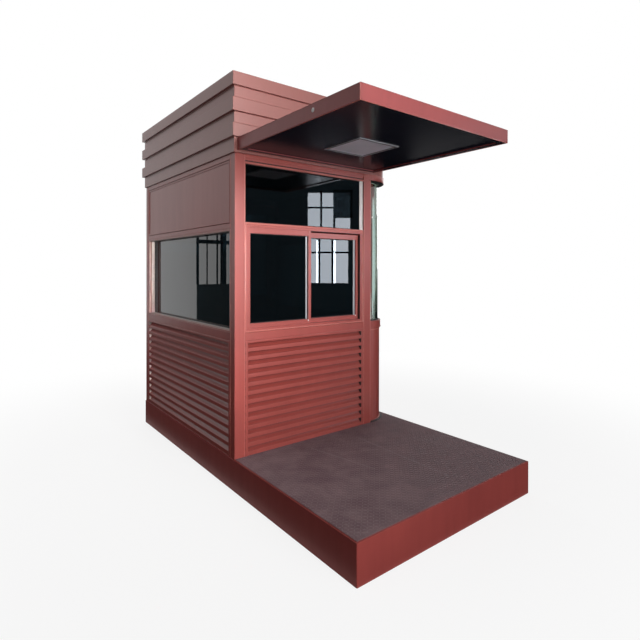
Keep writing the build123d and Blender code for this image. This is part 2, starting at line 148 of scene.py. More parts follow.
def sprayed_enamel(name, fresh, tired, roughness, specular, coat, painted_groove_shade=None):
    """Baked enamel sprayed on folded steel sheet. An even, semi-gloss skin: its tone drifts a little
    over the sheet, rain has left faint upright streaks, and the sheet behind it is never quite flat.
    The orange peel of the spray is under a pixel and only softens the gloss. The painted groove
    shade is the height of the lowest slat and the slats' pitch: each groove is painted darker
    towards the lip above it, as painted shade under that lip."""
    drift_mm, streak_mm, streak_length, wave_mm, wave_depth_mm = 420.0, 60.0, 8.0, 320.0, 0.9
    peel_mm, peel_depth_mm, most_tired = 7.0, 0.18, 0.35
    material, tree, place = start_finish(name)
    streak = noise(tree, stretched(tree, place, (1.0, 1.0, 1.0 / streak_length)), streak_mm, 4.0, 0.6)
    weathering = calculate(tree, "MULTIPLY", noise(tree, place, drift_mm, 3.0), streak)
    tone = blend(tree, between(tree, weathering, 0.14, 0.42, 0.0, most_tired), fresh, tired)
    # Painted shade: the upper part of each groove darkens to a dark red towards the lip above it
    if painted_groove_shade:
        low_m, pitch_m = painted_groove_shade[0] / 1000, painted_groove_shade[1] / 1000
        height = add(tree, "ShaderNodeSeparateXYZ", {}, [(0, place)]).outputs["Z"]
        slats = calculate(tree, "DIVIDE", calculate(tree, "SUBTRACT", height, low_m), pitch_m)
        shade = between(tree, calculate(tree, "FRACT", slats), 0.45, 0.97, 0.0, 0.7, "SMOOTHSTEP")
        tone = blend(tree, shade, tone, "#561D18")
    gloss = between(tree, streak, 0.3, 0.7, roughness - 0.01, roughness + 0.02)
    sheet = relief(tree, noise(tree, place, wave_mm, 1.0), wave_depth_mm, 0.5)
    skin = relief(tree, noise(tree, place, peel_mm), peel_depth_mm, 0.25, sheet)
    settings = {"IOR": 1.5, "Specular IOR Level": specular, "Coat Weight": coat, "Coat Roughness": 0.18}
    return end_surface(material, tree, settings, tone, skin, gloss)


def finish_nodes(material, nodes, fold_mm=1.5):
    """Gives CAD pieces their finish, and rounds their folded edges to the radius of a press brake."""
    for node in nodes:
        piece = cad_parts[node]
        piece.data.materials.clear()
        piece.data.materials.append(material)
        seams = piece.modifiers.new("closed_seams", "WELD")
        seams.merge_threshold = 0.00001
        folds = piece.modifiers.new("rounded_folds", "BEVEL")
        folds.width = fold_mm / 1000
        folds.segments = 2
        folds.limit_method = "ANGLE"
        folds.angle_limit = math.radians(35)
        folds.harden_normals = True


dusty_enamel = sprayed_enamel("oxblood_enamel_dulled_by_dust", "#97423D", "#6F2E2E", 0.5, 0.22, 0.0)
finish_nodes(dusty_enamel, ["base_side_beams", "base_end_beams"], 2.5)
red_oxide_primer = sprayed_enamel("red_oxide_primer_on_box_section", "#4A211C", "#3A1B18", 0.68, 0.3, 0.0)
finish_nodes(red_oxide_primer, ["base_cross_members"])

# Cabin floor. Film-faced birch plywood screwed to the base: a brown phenolic film, worn paler where
# people stand, and pressed with the fine mesh of its mould, which breaks up the gloss.
mesh_mm, press_mm, scuff_mm = 5.0, 0.15, 160.0
material, tree, place = start_finish("film_faced_plywood")
wear = between(tree, noise(tree, place, scuff_mm, 6.0, 0.65), 0.45, 0.72)
pressed = relief(tree, cells(tree, place, mesh_mm, 0.0).outputs["Distance"], press_mm, 0.6)
film = blend(tree, wear, "#5A3A26", "#7A5A41")
end_surface(material, tree, {"Roughness": 0.5, "IOR": 1.55}, film, pressed)
finish_nodes(material, ["cabin_floor"])

# Deck plate. Hot-rolled chequer plate 3 mm thick, welded to the base and painted dark. The raised
# bars lie at right angles to their neighbours, boots have dragged pale scuffs over them, and dust
# sits between them.


def box_mm(node):
    """The two far corners of a CAD piece's box, in millimetres."""
    return [corner * 1000 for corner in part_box(node)]


deck_low, deck_high = box_mm("deck_plate")
deck_top_mm = deck_high.z
wall_face_mm = box_mm("front_ribbed_panel")[0].y
bend_radius_mm = 250.0
bend_x_mm = box_mm("corner_side_post")[1].x - bend_radius_mm
bend_y_mm = wall_face_mm + bend_radius_mm
scuff_lines_mm = [
    ((160, -512), (155, -1310), 9.0), ((-234, -452), (-126, -968), 7.0), ((60, -700), (420, -1120), 5.0),
]


def run_along(tree, place, way):
    """How far the surface's place lies along a level direction."""
    settings = {"operation": "DOT_PRODUCT", 1: (way.x, way.y, 0.0)}
    return add(tree, "ShaderNodeVectorMath", settings, [(0, place)]).outputs["Value"]


def trodden_deck_paint(name, paint, dust, polished, scuffed):
    """Dark floor paint on rolled steel, trodden smooth on the bars and grey with dust between them.
    Broad smudges of dirt are a hand's breadth across, and the scuffs are single drag marks."""
    smudge_mm, grit_mm, grit_depth_mm, bar_foot_mm, bar_top_mm = 150.0, 9.0, 0.6, 0.4, 1.3
    material, tree, place = start_finish(name)
    smudges = noise(tree, place, smudge_mm, 5.0, 0.62, 0.4)
    grit = noise(tree, place, grit_mm, 3.0)
    dirt = between(tree, calculate(tree, "MULTIPLY_ADD", grit, 0.35, smudges), 0.52, 0.86)
    height = add(tree, "ShaderNodeSeparateXYZ", {}, [(0, place)]).outputs["Z"]
    foot_m, top_m = (deck_top_mm + bar_foot_mm) / 1000, (deck_top_mm + bar_top_mm) / 1000
    polish = between(tree, height, foot_m, top_m, 0.0, 0.55)
    tone = blend(tree, polish, blend(tree, dirt, paint, dust), polished)
    for start, end, width_mm in scuff_lines_mm:
        begin = Vector(start) / 1000
        run = Vector(end) / 1000 - begin
        ahead, across = run / run.length_squared, Vector((-run.y, run.x)).normalized()
        aside = calculate(tree, "SUBTRACT", run_along(tree, place, across), across.dot(begin))
        stripe = between(tree, calculate(tree, "ABSOLUTE", aside), width_mm / 1000, 0.0, 0.0, 0.5)
        middle = ahead.dot(begin) + 0.5
        inside = calculate(tree, "COMPARE", run_along(tree, place, ahead), middle, 0.5)
        tone = blend(tree, calculate(tree, "MULTIPLY", stripe, inside), tone, scuffed)
    gloss = between(tree, dirt, 0.0, 1.0, 0.5, 0.75)
    grain = relief(tree, grit, grit_depth_mm, 0.3)
    return end_surface(material, tree, {"IOR": 1.5, "Specular IOR Level": 0.06}, tone, grain, gloss)


def faces_between(rings, count, first=0, closed=False):
    """Faces from each ring of points to the next, and flat ends where the rings don't close."""
    faces = []
    for ring in range(rings if closed else rings - 1):
        here, there = first + ring * count, first + (ring + 1) % rings * count
        for k in range(count):
            after = (k + 1) % count
            faces.append((here + k, here + after, there + after, there + k))
    if not closed:
        last = first + (rings - 1) * count
        faces += [range(first, first + count), range(last, last + count)]
    return faces


def fit_piece(name, points_mm, faces, material, smooth_degrees=40):
    """A new piece fixed to the booth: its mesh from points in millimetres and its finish."""
    shape = bmesh.new()
    corners = [shape.verts.new([value / 1000 for value in point]) for point in points_mm]
    for face in faces:
        shape.faces.new([corners[index] for index in face])
    bmesh.ops.recalc_face_normals(shape, faces=shape.faces)
    mesh = bpy.data.meshes.new(name)
    shape.to_mesh(mesh)
    shape.free()
    mesh.materials.append(material)
    if smooth_degrees is not None:
        mesh.shade_smooth()
        mesh.set_sharp_from_angle(angle=math.radians(smooth_degrees))
    piece = bpy.data.objects.new(name, mesh)
    bpy.context.scene.collection.objects.link(piece)
    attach(piece, "root")


deck_paint = trodden_deck_paint("trodden_paint_on_chequer_plate", "#6F595D", "#8A7477", "#8F7F83", "#9A8E90")
finish_nodes(deck_paint, ["deck_plate"], 1.0)

# The bars: a pointed lens 27 mm long and 1.3 mm high, one in each 21 mm square, turned by turns
bar_length, bar_width, bar_height, bar_pitch = 27.0, 7.5, 1.3, 21.0
bar_margin, front_margin, bar_sides, bar_bluntness = 16.0, 12.8, 10, 0.4
bar_rings = ((1.0, -0.2), (0.72, 0.8), (0.4, 1.0))
bar_outline = []
for step in range(bar_sides):
    turn = 2 * math.pi * step / bar_sides
    breadth = math.sin(turn) * abs(math.sin(turn)) ** bar_bluntness
    bar_outline.append((math.cos(turn) * bar_length / 2, breadth * bar_width / 2))
tread_points, tread_faces = [], []
for column in range(int((deck_high.x - deck_low.x) / bar_pitch) + 1):
    for row in range(int((deck_high.y - deck_low.y) / bar_pitch) + 1):
        x = deck_low.x + bar_pitch * (column + 0.5)
        y = deck_low.y + bar_pitch * (row + 0.5)
        past_edge = x > deck_high.x - bar_margin or y < deck_low.y + front_margin
        past_wall = y > (bend_y_mm if x > bend_x_mm else wall_face_mm) - bar_margin
        from_bend = math.hypot(x - bend_x_mm, y - bend_y_mm)
        if past_edge or past_wall or x > bend_x_mm and from_bend < bend_radius_mm + bar_margin:
            continue
        slant = math.radians(45 if (column + row) % 2 else -45)
        tread_faces += faces_between(len(bar_rings), bar_sides, len(tread_points))
        for shrink, lift in bar_rings:
            for along, across in bar_outline:
                turned_x = along * math.cos(slant) - across * math.sin(slant)
                turned_y = along * math.sin(slant) + across * math.cos(slant)
                spot = (x + turned_x * shrink, y + turned_y * shrink, deck_top_mm + bar_height * lift)
                tread_points.append(spot)
fit_piece("deck_tread_bars", tread_points, tread_faces, deck_paint, 50)

# Posts, rails and flat wall panels. Square tube and folded sheet in the booth's oxblood enamel,
# welded into a cage, with the panels screwed up from inside so that no fixing shows.
oxblood_enamel = sprayed_enamel("oxblood_enamel_sprayed_on_sheet", "#9A443D", "#7C3733", 0.38, 0.5, 0.15)
posts_and_rails = [
    "front_left_post", "front_right_post", "corner_side_post", "back_posts", "sill_rails",
    "corner_sill_rail", "front_head_rail", "corner_head_rail", "corner_lower_panel",
    "left_upper_panel", "right_upper_panel", "back_upper_panel",
]
finish_nodes(oxblood_enamel, posts_and_rails, 2.0)

# Ribbed lower walls. One pressed skin on each side: slats over scooped grooves, and a folded
# cover strip round them that hides the skin's cut edge and stands a little proud.
panel_foot_mm, panel_head_mm = [corner.z for corner in box_mm("front_ribbed_panel")]
rib_low, rib_high, rib_count = panel_foot_mm + 3.0, panel_head_mm - 18.0, 13
rib_step = (rib_high - rib_low) / rib_count
# The slats' enamel is painted darker in each groove under its lip: painted shade
ribbed_enamel_with_painted_shade = sprayed_enamel(
    "oxblood_enamel_on_slats_with_painted_groove_shade", "#9A443D", "#7C3733", 0.38, 0.5, 0.15, (rib_low, rib_step)
)


def plane(origin, along, up, out):
    """A wall as its origin and its directions along, up and outwards, seen from outside."""
    return Vector(origin), Vector(along), Vector(up), Vector(out)


left_face_mm, right_face_mm = box_mm("front_left_post")[0].x, box_mm("corner_side_post")[1].x
walls = {
    "front": plane((0, wall_face_mm, 0), (1, 0, 0), (0, 0, 1), (0, -1, 0)),
    "left": plane((left_face_mm, 0, 0), (0, -1, 0), (0, 0, 1), (-1, 0, 0)),
    "right": plane((right_face_mm, 0, 0), (0, 1, 0), (0, 0, 1), (1, 0, 0)),
    "back": plane((0, box_mm("back_posts")[1].y, 0), (-1, 0, 0), (0, 0, 1), (0, 1, 0)),
}
front_wall, left_wall, back_wall = walls["front"], walls["left"], walls["back"]
finish_nodes(ribbed_enamel_with_painted_shade, [side + "_ribbed_panel" for side in walls], 3.0)


def span_on_wall(node, wall):
    """Ends of a CAD piece along a wall, then its foot and head, in millimetres."""
    corners = box_mm(node)
    along = sorted(wall[1].dot(corner - wall[0]) for corner in corners)
    return along[0], along[1], corners[0].z, corners[1].z


def folded_strip(name, wall, start, end, section, material):
    """A straight length of one section between two points of a wall. Each point of the section is
    its distance to the left of the way from start to end, and its height off the wall."""
    origin, along, up, out = wall
    way = Vector((end[0] - start[0], end[1] - start[1])).normalized()
    left = Vector((-way.y, way.x))
    points = []
    for foot in (start, end):
        for aside, height in section:
            spot = Vector(foot) + left * aside
            points.append(origin + along * spot.x + up * spot.y + out * height)
    fit_piece(name, points, faces_between(2, len(section)), material)


def mitred_frame(name, wall, low, high, section, material, slot, inset=0.0):
    """A frame of one section, mitred at its corners, set in from two corners of the wall. Each
    point of the section is its distance in from the frame's outer edge, and its height off the
    wall."""
    origin, along, up, out = wall
    points = []
    for right, top in ((0, 0), (1, 0), (1, 1), (0, 1)):
        for reach, height in section:
            far = inset + reach
            x = high[0] - far if right else low[0] + far
            z = high[1] - far if top else low[1] + far
            points.append(origin + along * x + up * z + out * height)
    fit_piece(name, points, faces_between(4, len(section), 0, True), material)


def rounded_flat(width, height, base, edge):
    """Section of a flat strip with its two outer edges rolled over."""
    section = [(0.0, base)]
    for centre, side, turns in ((edge, -1, (90, 60, 30, 0)), (width - edge, 1, (0, 30, 60, 90))):
        for turn in turns:
            angle = math.radians(turn)
            rise = base + height - edge + edge * math.cos(angle)
            section.append((centre + side * edge * math.sin(angle), rise))
    return section + [(width, base)]


def half_round(width, height, base):
    """Section of a half-round bead, flat on its back."""
    steps = 6
    turns = [math.pi * step / steps for step in range(steps + 1)]
    return [(width / 2 - width / 2 * math.cos(turn), base + height * math.sin(turn)) for turn in turns]


# Rolled beads catch the light all over the booth, and their enamel is painted brighter than the walls' as a
# painted highlight
highlight_enamel = sprayed_enamel("oxblood_enamel_painted_bright_as_highlight", "#B5655C", "#A2564E", 0.3, 0.5, 0.25)


def rolled_bead(name, wall, start, end, width, proud, base):
    """A half-round bead in the brighter enamel of a painted highlight, between two points of a wall."""
    folded_strip(name, wall, start, end, half_round(width, proud, base), highlight_enamel)


post_foot, post_head = [corner.z for corner in box_mm("front_left_post")]
bead_width, bead_proud, bead_sunk = 5.0, 2.2, -0.2
right_post_start, right_post_end = span_on_wall("front_right_post", front_wall)[:2]
left_post_end = span_on_wall("front_left_post", front_wall)[1]
post_edges = {"front": [left_post_end, right_post_start + bead_width, right_post_end]}
for side in ("left", "right", "back"):
    start, end = span_on_wall(side + "_ribbed_panel", walls[side])[:2]
    post_edges[side] = [start, end + bead_width]
# The posts' rolled edges are in the brighter enamel: painted highlights along the arrises
for side, places in post_edges.items():
    for index, place in enumerate(places):
        name = "%s_post_rolled_edge_%d" % (side, index + 1)
        ends = (place, post_foot), (place, post_head)
        rolled_bead(name, walls[side], *ends, bead_width, bead_proud, bead_sunk)

cover_width, top_cover_width, cover_inset, foot_gap, head_gap = 18.0, 13.5, 5.0, 3.0, 2.0
cover_height, cover_sunk, cover_edge = 2.6, -0.4, 1.6
side_cover = rounded_flat(cover_width, cover_height, cover_sunk, cover_edge)
top_cover = rounded_flat(top_cover_width, cover_height, cover_sunk, cover_edge)
for side, wall in walls.items():
    start, end, foot, head = span_on_wall(side + "_ribbed_panel", wall)
    inner_start, outer_end = start + cover_inset + cover_width, end - cover_inset
    low, high, inner_end = foot + foot_gap, head - head_gap, outer_end - cover_width
    top = high - top_cover_width
    for part, begin, finish, section in (
        ("left", (inner_start, low), (inner_start, high), side_cover),
        ("right", (outer_end, low), (outer_end, high), side_cover),
        ("top", (inner_start, top), (inner_end, top), top_cover),
    ):
        name = "%s_panel_cover_%s" % (side, part)
        folded_strip(name, wall, begin, finish, section, oxblood_enamel)

# Ends of the grooves. Each groove stops short of its border. At the front's right a black plug
# fills the mouth as painted shade, and on the left wall's back edge a pale plug in the lining's
# finish stands in as a painted highlight.
groove_share, groove_border = 0.55, 25.0
stop_outline = (
    (1.0, -1.0, False), (1.0, 1.0, True), (7.0, 1.5, True), (13.0, 6.0, True), (16.0, 14.0, True),
    (25.0, -8.0, False), (25.0, -1.0, False),
)


def groove_stops(name, wall, along_mm, thickness, material):
    """One plug in the end of each groove of a wall. Each point of its outline is its setback, and
    its height over the groove's lower ledge or over the lip above it."""
    origin, along, up, out = wall
    points, faces = [], []
    for index in range(rib_count):
        lip = rib_low + (index + 1) * rib_step
        ledge = lip - groove_share * rib_step
        faces += faces_between(2, len(stop_outline), len(points))
        for way in (along_mm, along_mm + thickness):
            for setback, height, from_ledge in stop_outline:
                z = height + (ledge if from_ledge else lip)
                points.append(origin + along * way + up * z - out * setback)
    fit_piece(name, points, faces, material, None)


# Front window. Enamelled aluminium: a fixed light above a slider of two leaves in parallel tracks.
# A rolled bead runs round the slider's frame, fine beads along its head, and black rubber and pale
# clip-in beads hold the panes.
finish_nodes(oxblood_enamel, ["front_window_frame", "front_fixed_leaf", "front_sliding_leaf"], 1.2)
unit_left, unit_right, unit_foot, unit_head = span_on_wall("front_window_frame", front_wall)
fixed_left, fixed_right, fixed_foot, fixed_head = span_on_wall("front_fixed_leaf", front_wall)
slide_left, slide_right, slide_foot, slide_head = span_on_wall("front_sliding_leaf", front_wall)
frame_depth, fixed_depth, slide_depth, sunk = 4.0, 6.0, 33.0, 0.3
transom_foot, transom_head = fixed_head + 34.0, unit_head - 13.0
leaf_stile, closing_stile, fixed_stile, bottom_rail, top_rail = 30.0, 21.0, 9.0, 32.0, 38.0
frame_face = -frame_depth - sunk
# The window's rolled bead and its head and transom beads are in the brighter enamel: painted highlights
mitred_frame(
    "front_window_rolled_bead", front_wall, (unit_left, unit_foot), (unit_right, transom_foot),
    half_round(10.0, 5.0, frame_face), highlight_enamel, "oxblood_paint", 1.0,
)
for name, height, inset, width, proud, base in (
    ("front_transom_bar_bead_1", fixed_head + 9.0, 18.0, 4.5, 2.4, bead_sunk - frame_depth),
    ("front_transom_bar_bead_2", fixed_head + 20.0, 18.0, 4.5, 2.4, bead_sunk - frame_depth),
    ("front_head_bead_1", transom_head - 2.5, 1.0, 11.0, 5.0, frame_face),
    ("front_head_bead_2", unit_head + 14.0, 1.0, 3.6, 2.0, -8.2),
    ("front_head_bead_3", unit_head + 30.0, 1.0, 3.6, 2.0, -4.2),
):
    ends = (unit_left + inset, height), (unit_right - inset, height)
    rolled_bead(name, front_wall, *ends, width, proud, base)


def moulded_rubber(name):
    """Extruded EPDM glazing rubber. Matt near-black, with a bloom that greys it in patches."""
    bloom_mm = 35.0
    material, tree, place = start_finish(name)
    tone = blend(tree, noise(tree, place, bloom_mm, 3.0), "#141415", "#2A2A2B")
    return end_surface(material, tree, {"Roughness": 0.62, "IOR": 1.5, "Specular IOR Level": 0.3}, tone)


def extruded_plastic(name, clean, dusty):
    """Rigid PVC glazing bead. Satin, with faint lines along it from the die, and yellowed dust."""
    line_mm, line_depth_mm, dust_mm = 3.0, 0.3, 70.0
    material, tree, place = start_finish(name)
    lines = noise(tree, stretched(tree, place, (1.0, 1.0, 0.02)), line_mm)
    dust = between(tree, noise(tree, place, dust_mm, 4.0), 0.4, 0.75, 0.0, 0.5)
    die = relief(tree, lines, line_depth_mm, 0.2)
    return end_surface(material, tree, {"Roughness": 0.4, "IOR": 1.53}, blend(tree, dust, clean, dusty), die)


def float_glass(name, body, second_body):
    """Float glass, tinted in its body. Flat, clean and nearly smooth: it mirrors the room, and its
    tint drifts a trace over the pane as rain marks dry on it."""
    mark_mm = 240.0
    material, tree, place = start_finish(name)
    tint = blend(tree, noise(tree, place, mark_mm), body, second_body)
    return end_surface(material, tree, {"Roughness": 0.0, "IOR": 1.52, "Transmission Weight": 1.0}, tint)


glazing_rubber = moulded_rubber("extruded_epdm_rubber")
# Dark sealant closes the joint at the corner's foot, and also draws painted shadow lines on the window
dark_sealant_and_shadow_lines = moulded_rubber("brown_black_joint_and_painted_shadow")
clip_in_bead = extruded_plastic("extruded_white_pvc", "#E4DEDD", "#C9BFBC")
leaf_bead = extruded_plastic("extruded_grey_pvc", "#85868C", "#74757B")
solar_glass = float_glass("grey_solar_float_glass", "#2C363B", "#273136")
finish_nodes(solar_glass, [side + "_window_glass" for side in walls] + ["door_glass"], 0.5)
# Black plugs in the front grooves' right ends: painted shade
front_groove_end = span_on_wall("front_ribbed_panel", front_wall)[1] - groove_border
groove_stops("front_groove_painted_shade_stops", front_wall, front_groove_end + 0.1, -6.0, glazing_rubber)
head_low, head_high = [corner.z for corner in box_mm("corner_head_rail")]
head_joint = unit_head - 3.0
# A dark strip under the head beads: a painted shadow line
folded_strip(
    "head_painted_shadow_line", front_wall, (unit_left, head_joint), (unit_right, head_joint),
    rounded_flat(10.0, 1.6, -8.3, 0.6), dark_sealant_and_shadow_lines,
)
meeting_x = fixed_right - leaf_stile
# Dark strips in the transom jamb, beside the meeting stile and at the closing jamb: painted shadow in the
# gaps
for name, x, foot, head, section, material, slot in (
    ("corner_head_dressing", bend_x_mm - 22.0, head_low + 1.0, head_high - 1.0,
     [(0.0, -0.3), (0.0, 17.6), (73.0, -0.3)], oxblood_enamel, "oxblood_paint"),
    ("transom_jamb_painted_shadow_line", unit_right, transom_foot, transom_head,
     rounded_flat(4.6, 1.2, frame_face, 0.5), dark_sealant_and_shadow_lines, "window_glass"),
    ("meeting_stile_painted_shadow_gap", meeting_x + 4.5, fixed_foot + bottom_rail, fixed_head - top_rail,
     rounded_flat(4.5, 1.0, bead_sunk - fixed_depth, 0.4), glazing_rubber, "window_glass"),
    ("closing_jamb_painted_shadow_gap", slide_right + 1.0, slide_foot, slide_head,
     [(-0.3, -28.0), (-0.3, -8.0), (1.6, -10.0), (1.6, -26.0)], glazing_rubber, "window_glass"),
):
    folded_strip(name, front_wall, (x, foot), (x, head), section, material)

# Each pane's two corners, its depth, the splay of its clip-in bead and what the bead is made of
panes = {
    "transom": (
        (unit_left + 5, transom_foot), (unit_right - 5, transom_head), 26.0, 20.0, 18.0, clip_in_bead,
    ),
    "fixed_leaf": (
        (fixed_left + fixed_stile, fixed_foot + bottom_rail),
        (fixed_right - leaf_stile, fixed_head - top_rail), fixed_depth + 17.0, 10.0, 7.0, leaf_bead,
    ),
    "sliding_leaf": (
        (slide_left + leaf_stile, slide_foot + bottom_rail),
        (slide_right - closing_stile, slide_head - top_rail), slide_depth + 17.0, 15.0, 7.0, leaf_bead,
    ),
}
for light, (low, high, glass_depth, width, depth, plastic) in panes.items():
    glass = -glass_depth
    rubber = half_round(5.0, 2.5, glass)
    mitred_frame(light + "_rubber", front_wall, low, high, rubber, glazing_rubber, "window_glass")
    splay = [
        (0.0, glass + depth), (0.0, glass + 0.4), (width, glass + 0.4), (width, glass + 2.0),
        (1.6, glass + depth),
    ]
    folded_strip(
        light + "_clip_in_bead", front_wall, (high[0] - sunk, low[1] + sunk),
        (high[0] - sunk, high[1] - sunk), splay, plastic,
    )
# The stiles' rolled beads are in the brighter enamel: painted highlights
for name, x, foot, head, width, depth in (
    ("meeting_stile_rolled_bead", meeting_x + 10.0, fixed_foot, fixed_head, 5.0, fixed_depth),
    ("closing_stile_rolled_bead", slide_right - 4.0, slide_foot, slide_head, 6.0, slide_depth),
):
    rolled_bead(name, front_wall, (x, foot + 2), (x, head - 2), width, 2.6, bead_sunk - depth)

# Side and back windows. Extruded aluminium glazing frames, mill finish under a thin red paint, set
# in between posts and rails, with pale linings where the paint stops and black rubber at the glass.


def painted_aluminium(name, paint, metal):
    """Thinly painted aluminium extrusion. Satin, with fine die lines along it, and the metal's grey
    showing through where the paint is rubbed."""
    line_mm, line_depth_mm, rub_mm = 2.5, 0.2, 55.0
    material, tree, place = start_finish(name)
    rub = between(tree, noise(tree, place, rub_mm, 5.0, 0.6), 0.56, 0.7, 0.0, 0.5)
    die = relief(tree, noise(tree, place, line_mm, 1.0), line_depth_mm, 0.15)
    settings = {"Roughness": 0.38, "IOR": 1.5, "Specular IOR Level": 0.5}
    return end_surface(material, tree, settings, blend(tree, rub, paint, metal), die)


rubbed_aluminium = painted_aluminium("painted_aluminium_extrusion", "#A8655F", "#A9A29E")
pink_lining = painted_aluminium("thinly_painted_aluminium_lining", "#E0BDB6", "#C9B9B4")
pale_lining_and_highlight = painted_aluminium("pale_aluminium_lining_and_painted_highlight", "#EFE0DC", "#D6C9C5")
# Pale plugs in the left grooves' back ends: painted highlight
left_groove_end = span_on_wall("left_ribbed_panel", left_wall)[0] + groove_border
groove_stops("left_groove_painted_highlight_ends", left_wall, left_groove_end - 0.1, 5.0, pale_lining_and_highlight)
finish_nodes(rubbed_aluminium, ["left_window_frame", "right_window_frame", "back_window_frame"], 1.0)
side_glass, frame_lip = -56.0, 12.0
side_rubber = half_round(3.0, 1.5, side_glass)
inner_bead = [(0.0, side_glass + 1.6), (2.2, side_glass + 1.6), (2.2, -27.0), (0.0, -27.0)]
outer_lip = [(0.0, -20.0), (1.8, -20.0), (1.8, -1.0), (0.0, -1.0)]
for side in ("left", "right", "back"):
    start, end, foot, head = span_on_wall(side + "_window_frame", walls[side])
    for part, section, material, slot in (
        ("rubber", side_rubber, glazing_rubber, "window_glass"),
        ("inner_bead", inner_bead, pale_lining_and_highlight, "glazing_aluminium"),
        ("outer_lining", outer_lip, pink_lining, "glazing_aluminium"),
    ):
        name = "%s_window_%s" % (side, part)
        mitred_frame(name, walls[side], (start, foot), (end, head), section, material, slot, frame_lip)

# Rounded corner. A bent sheet panel and rails, and one pane of clear glass bent to the same corner.
# Rubber seats it top and bottom, a black band under the head is painted shadow, dark sealant closes
# the joint at the deck, the panel's border is in the brighter enamel as a painted highlight, and a
# pale plastic strip stiffens the pane from inside.


def corner_point(setback, height, turn):
    """A place on the rounded corner: setback in from the wall face, turned from front to side."""
    radius = bend_radius_mm - setback
    return (bend_x_mm + radius * math.sin(turn), bend_y_mm - radius * math.cos(turn), height)


def bent_strip(name, section, material):
    """One section bent round the corner, with straight ends that reach on behind the posts. Each
    point of the section is its setback from the wall face and its height."""
    steps, link_mm = 24, 22.0
    points = [(bend_x_mm - link_mm, bend_y_mm - bend_radius_mm + s, z) for s, z in section]
    for index in range(steps + 1):
        points += [corner_point(s, z, math.pi / 2 * index / steps) for s, z in section]
    points += [(bend_x_mm + bend_radius_mm - s, bend_y_mm + link_mm, z) for s, z in section]
    fit_piece(name, points, faces_between(steps + 3, len(section)), material)


clear_glass = float_glass("clear_bent_float_glass", "#DDEAE6", "#D3E4DF")
finish_nodes(clear_glass, ["corner_glass"], 0.5)
glass_foot, glass_head = [corner.z for corner in box_mm("corner_glass")]
bent_setback = 32.0
for end, height, sign in (("foot", glass_foot, 1), ("head", glass_head, -1)):
    seat = [
        (bent_setback - 6, height), (bent_setback - 6, height + 5 * sign),
        (bent_setback - 3, height + 9 * sign), (bent_setback - 0.2, height + 9 * sign),
        (bent_setback - 0.2, height),
    ]
    bent_strip("corner_glass_%s_rubber" % end, seat, glazing_rubber)
rail_foot = box_mm("corner_sill_rail")[0].z
# The black band under the head is painted shadow, and the border's brighter enamel a painted highlight
for name, foot, section, material, slot in (
    ("corner_head_painted_shadow_band", head_low, ((-14.0, 0.4), (-14.0, -1.2), (25.0, -1.2), (25.0, 0.4)),
     glazing_rubber, "window_glass"),
    ("corner_rail_rolled_lip", rail_foot, ((10.2, -0.4), (6.6, 0.6), (5.4, 3.0), (6.6, 5.4), (10.2, 6.4)),
     oxblood_enamel, "oxblood_paint"),
    ("corner_panel_border", rail_foot, ((18.3, -15.0), (15.8, -13.5), (15.8, -9.5), (18.3, -8.0)),
     highlight_enamel, "oxblood_paint"),
    ("corner_foot_sealant", deck_top_mm,
     ((-5.0, -0.1), (-5.0, 0.6), (1.0, 1.6), (7.0, 4.0), (11.0, 8.0), (11.0, -2.5), (0.5, -2.5), (0.5, -0.1)),
     dark_sealant_and_shadow_lines, "deck_paint"),
):
    bent_strip(name, [(setback, foot + z) for setback, z in section], material)

# A pale strip stiffens the bent pane from inside, and turns over along its head to the post
stiffener_plastic = extruded_plastic("extruded_pale_green_pvc", "#C2C2AE", "#A9B1A6")
strip_near, strip_far, strip_half, strip_turn_mm, strip_reach_mm = 41.0, 58.0, 2.2, 18.0, 25.0
strip_foot, strip_head, strip_angle = glass_foot + 10, glass_head - 16, math.radians(45)
route = [(0.0, strip_foot, 0.0), (0.0, strip_head - strip_turn_mm, 0.0)]
for turn in [math.radians(18 * step) for step in range(1, 6)]:
    aside = strip_turn_mm * (1 - math.cos(turn))
    route.append((aside, strip_head - strip_turn_mm * (1 - math.sin(turn)), turn))
for step in range(1, 5):
    route.append((strip_turn_mm + strip_reach_mm * step, strip_head, math.pi / 2))
points = []
for aside, height, lean in route:
    for setback, side in ((strip_near, -1), (strip_near, 1), (strip_far, 1), (strip_far, -1)):
        shift = (aside + side * strip_half * math.cos(lean)) / (bend_radius_mm - setback)
        lift = height + side * strip_half * math.sin(lean)
        points.append(corner_point(setback, lift, strip_angle - shift))
stiffener_faces = faces_between(len(route), 4)
fit_piece("bent_glass_stiffener", points, stiffener_faces, stiffener_plastic)

# Fascia. Steel sheet pressed into three boards with recesses between them, sprayed with the same
# enamel. Its paler, greyer tone stands in for the sheen of light on it: painted sheen.
sheen_painted_enamel = sprayed_enamel("oxblood_enamel_paled_by_painted_sheen", "#8F5650", "#855A52", 0.4, 0.5, 0.2)
finish_nodes(sheen_painted_enamel, ["fascia_front", "fascia_left", "fascia_back", "fascia_corner"], 2.5)
finish_nodes(sheen_painted_enamel, ["fascia_right"], 0.2)

# Roof and ceiling. A welded ring with joists in red oxide primer, a galvanised deck over it, and a
# ceiling of white coil-coated board under it.
finish_nodes(red_oxide_primer, ["roof_frame"])

